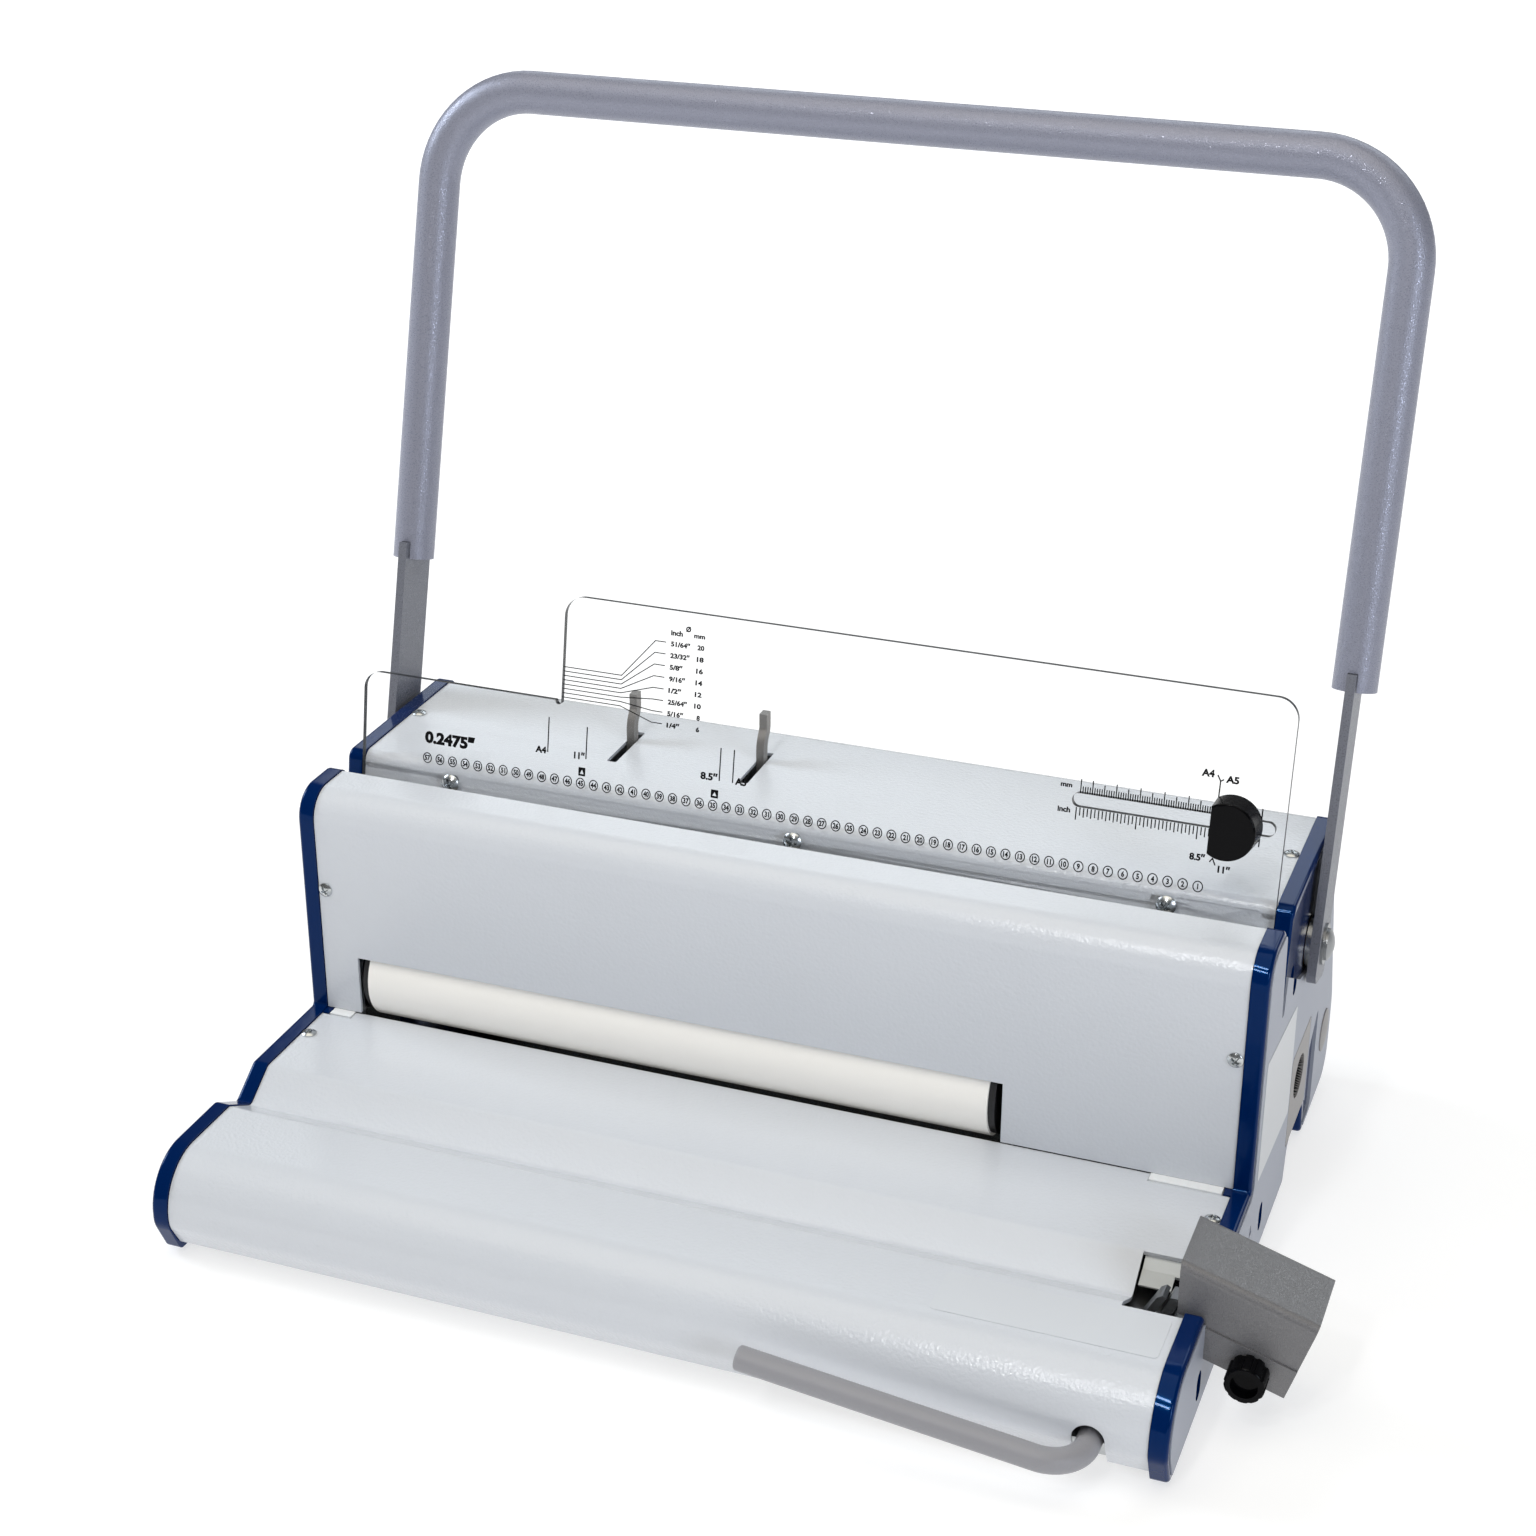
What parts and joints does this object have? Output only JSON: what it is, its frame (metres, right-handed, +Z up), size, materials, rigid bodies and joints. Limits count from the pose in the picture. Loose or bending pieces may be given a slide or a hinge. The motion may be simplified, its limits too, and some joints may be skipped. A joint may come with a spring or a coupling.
{
  "type": "coil binding machine",
  "caption": "Desk machine that punches a row of holes along a stack of paper, spins a plastic coil through them with a rubber roller and crimps its ends.",
  "frame": {"origin": "in the desk plane under the middle of the bounding box", "axes": "+X to the right of a user at the front, +Y to the rear, +Z up"},
  "size_m": [0.4896, 0.3542, 0.4388],
  "materials": {
    "cover_paint": "pale grey powder coat, fine orange peel",
    "navy_paint": "gloss navy enamel",
    "side_grey": "matt light grey paint",
    "handle_paint": "silver grey hammered paint with sparkle",
    "hammer_grey": "mid grey textured paint",
    "zinc": "bright zinc plate",
    "steel": "ground steel",
    "polished_steel": "polished steel",
    "lever_steel": "plain oiled steel",
    "bronze": "sintered bronze",
    "clear": "clear acrylic",
    "black_plastic": "black moulded plastic",
    "grey_plastic": "brownish grey moulded plastic",
    "roller_rubber": "cream rubber, ground",
    "black_rubber": "black rubber",
    "board": "green board"
  },
  "bodies": {
    "machine": {"base_plate": "zinc", "rubber_feet": "black_rubber", "side_frame_left": "navy_paint", "side_frame_right": "navy_paint", "side_plate_left": "side_grey", "side_plate_right": "side_grey", "side_screws": "zinc", "side_cap": "grey_plastic", "front_cover": "cover_paint", "deck_cover": "cover_paint", "deck_rail": "cover_paint", "top_cover": "cover_paint", "rear_cover": "cover_paint", "cover_screws": "zinc", "clear_plate": "clear", "dome_bolts": "zinc", "punch_guide": "steel", "punch_die": "steel", "paper_stop": "steel", "guide_rods": "steel", "shaft_bushes": "bronze", "roller_brackets": "zinc", "drive_belt": "black_rubber", "motor_bracket": "zinc", "roller_motor": "zinc", "power_supply": "board", "power_inlet": "black_plastic", "chip_chute": "zinc", "drawer_rails": "zinc", "crimper_hood": "hammer_grey", "crimper_casting": "hammer_grey", "crimper_guide": "polished_steel", "crimper_block": "steel", "crimper_jaw_pin": "steel", "crimper_anvil": "steel"},
    "handle": {"drive_shaft": "steel", "pinions": "steel", "arm_spacers": "zinc", "handle_arms": "handle_paint", "handle_tube": "handle_paint", "pivot_screws": "zinc"},
    "punch_ram": {"ram_bar": "steel", "punch_pins": "steel", "racks": "steel"},
    "lever_45": {"size_lever_45": "lever_steel"},
    "lever_35": {"size_lever_35": "lever_steel"},
    "roller": {"coil_roller": "roller_rubber", "roller_shaft": "steel", "roller_pulley": "black_plastic"},
    "motor_drive": {"motor_pulley": "black_plastic"},
    "side_guide": {"side_guide_knob": "black_plastic", "side_guide_clamp": "black_plastic"},
    "crimp_handle": {"crimper_lever": "handle_paint", "crimper_crank": "steel"},
    "crimp_jaw": {"crimper_jaw": "steel"},
    "crimp_knob": {"crimper_knob": "black_plastic"},
    "drawer": {"chip_drawer": "grey_plastic"},
    "rocker": {"rocker_switch": "black_plastic"}
  },
  "joints": [
    {"name": "handle_swing", "type": "hinge", "parent": "machine", "child": "handle", "pos_m": [-0.01481, 0.08189, 0.1145], "axis": [1, 0, 0], "range_deg": [0, 80]},
    {"name": "ram_slide", "type": "slide", "parent": "machine", "child": "punch_ram", "axis": [0, -0.984, 0.1779], "range_m": [0, 0.01686]},
    {"name": "lever_45_lift", "type": "slide", "parent": "punch_ram", "child": "lever_45", "axis": [0, 0.1779, 0.984], "range_m": [0, 0.005]},
    {"name": "lever_35_lift", "type": "slide", "parent": "punch_ram", "child": "lever_35", "axis": [0, 0.1779, 0.984], "range_m": [0, 0.005]},
    {"name": "roller_spin", "type": "hinge", "parent": "machine", "child": "roller", "pos_m": [-0.01481, 0.00389, 0.0635], "axis": [1, 0, 0], "continuous": true},
    {"name": "motor_spin", "type": "hinge", "parent": "machine", "child": "motor_drive", "pos_m": [0.11969, 0.00689, 0.0245], "axis": [1, 0, 0], "continuous": true},
    {"name": "side_guide_slide", "type": "slide", "parent": "machine", "child": "side_guide", "axis": [1, 0, 0], "range_m": [-0.062, 0.013]},
    {"name": "crimp_handle_swing", "type": "hinge", "parent": "machine", "child": "crimp_handle", "pos_m": [0.17119, -0.17211, 0.0175], "axis": [0, 1, 0], "range_deg": [0, 60]},
    {"name": "crimp_jaw_close", "type": "hinge", "parent": "machine", "child": "crimp_jaw", "pos_m": [0.17369, -0.09811, 0.0293], "axis": [0, 1, 0], "range_deg": [0, 2.2]},
    {"name": "crimp_knob_turn", "type": "hinge", "parent": "machine", "child": "crimp_knob", "pos_m": [0.2202, -0.10211, 0.02633], "axis": [0, -1, 0], "range_deg": [-180, 180]},
    {"name": "drawer_slide", "type": "slide", "parent": "machine", "child": "drawer", "axis": [1, 0, 0], "range_m": [0, 0.3]},
    {"name": "rocker_tip", "type": "hinge", "parent": "machine", "child": "rocker", "pos_m": [-0.22981, 0.13089, 0.075], "axis": [0, -1, 0], "range_deg": [0, 14]}
  ],
  "couplings": [
    {"joint": "ram_slide", "follows": "handle_swing", "m_per_rad": 0.012},
    {"joint": "motor_spin", "follows": "roller_spin", "ratio": 1.5},
    {"joint": "crimp_jaw_close", "follows": "crimp_handle_swing", "ratio": 0.035}
  ]
}
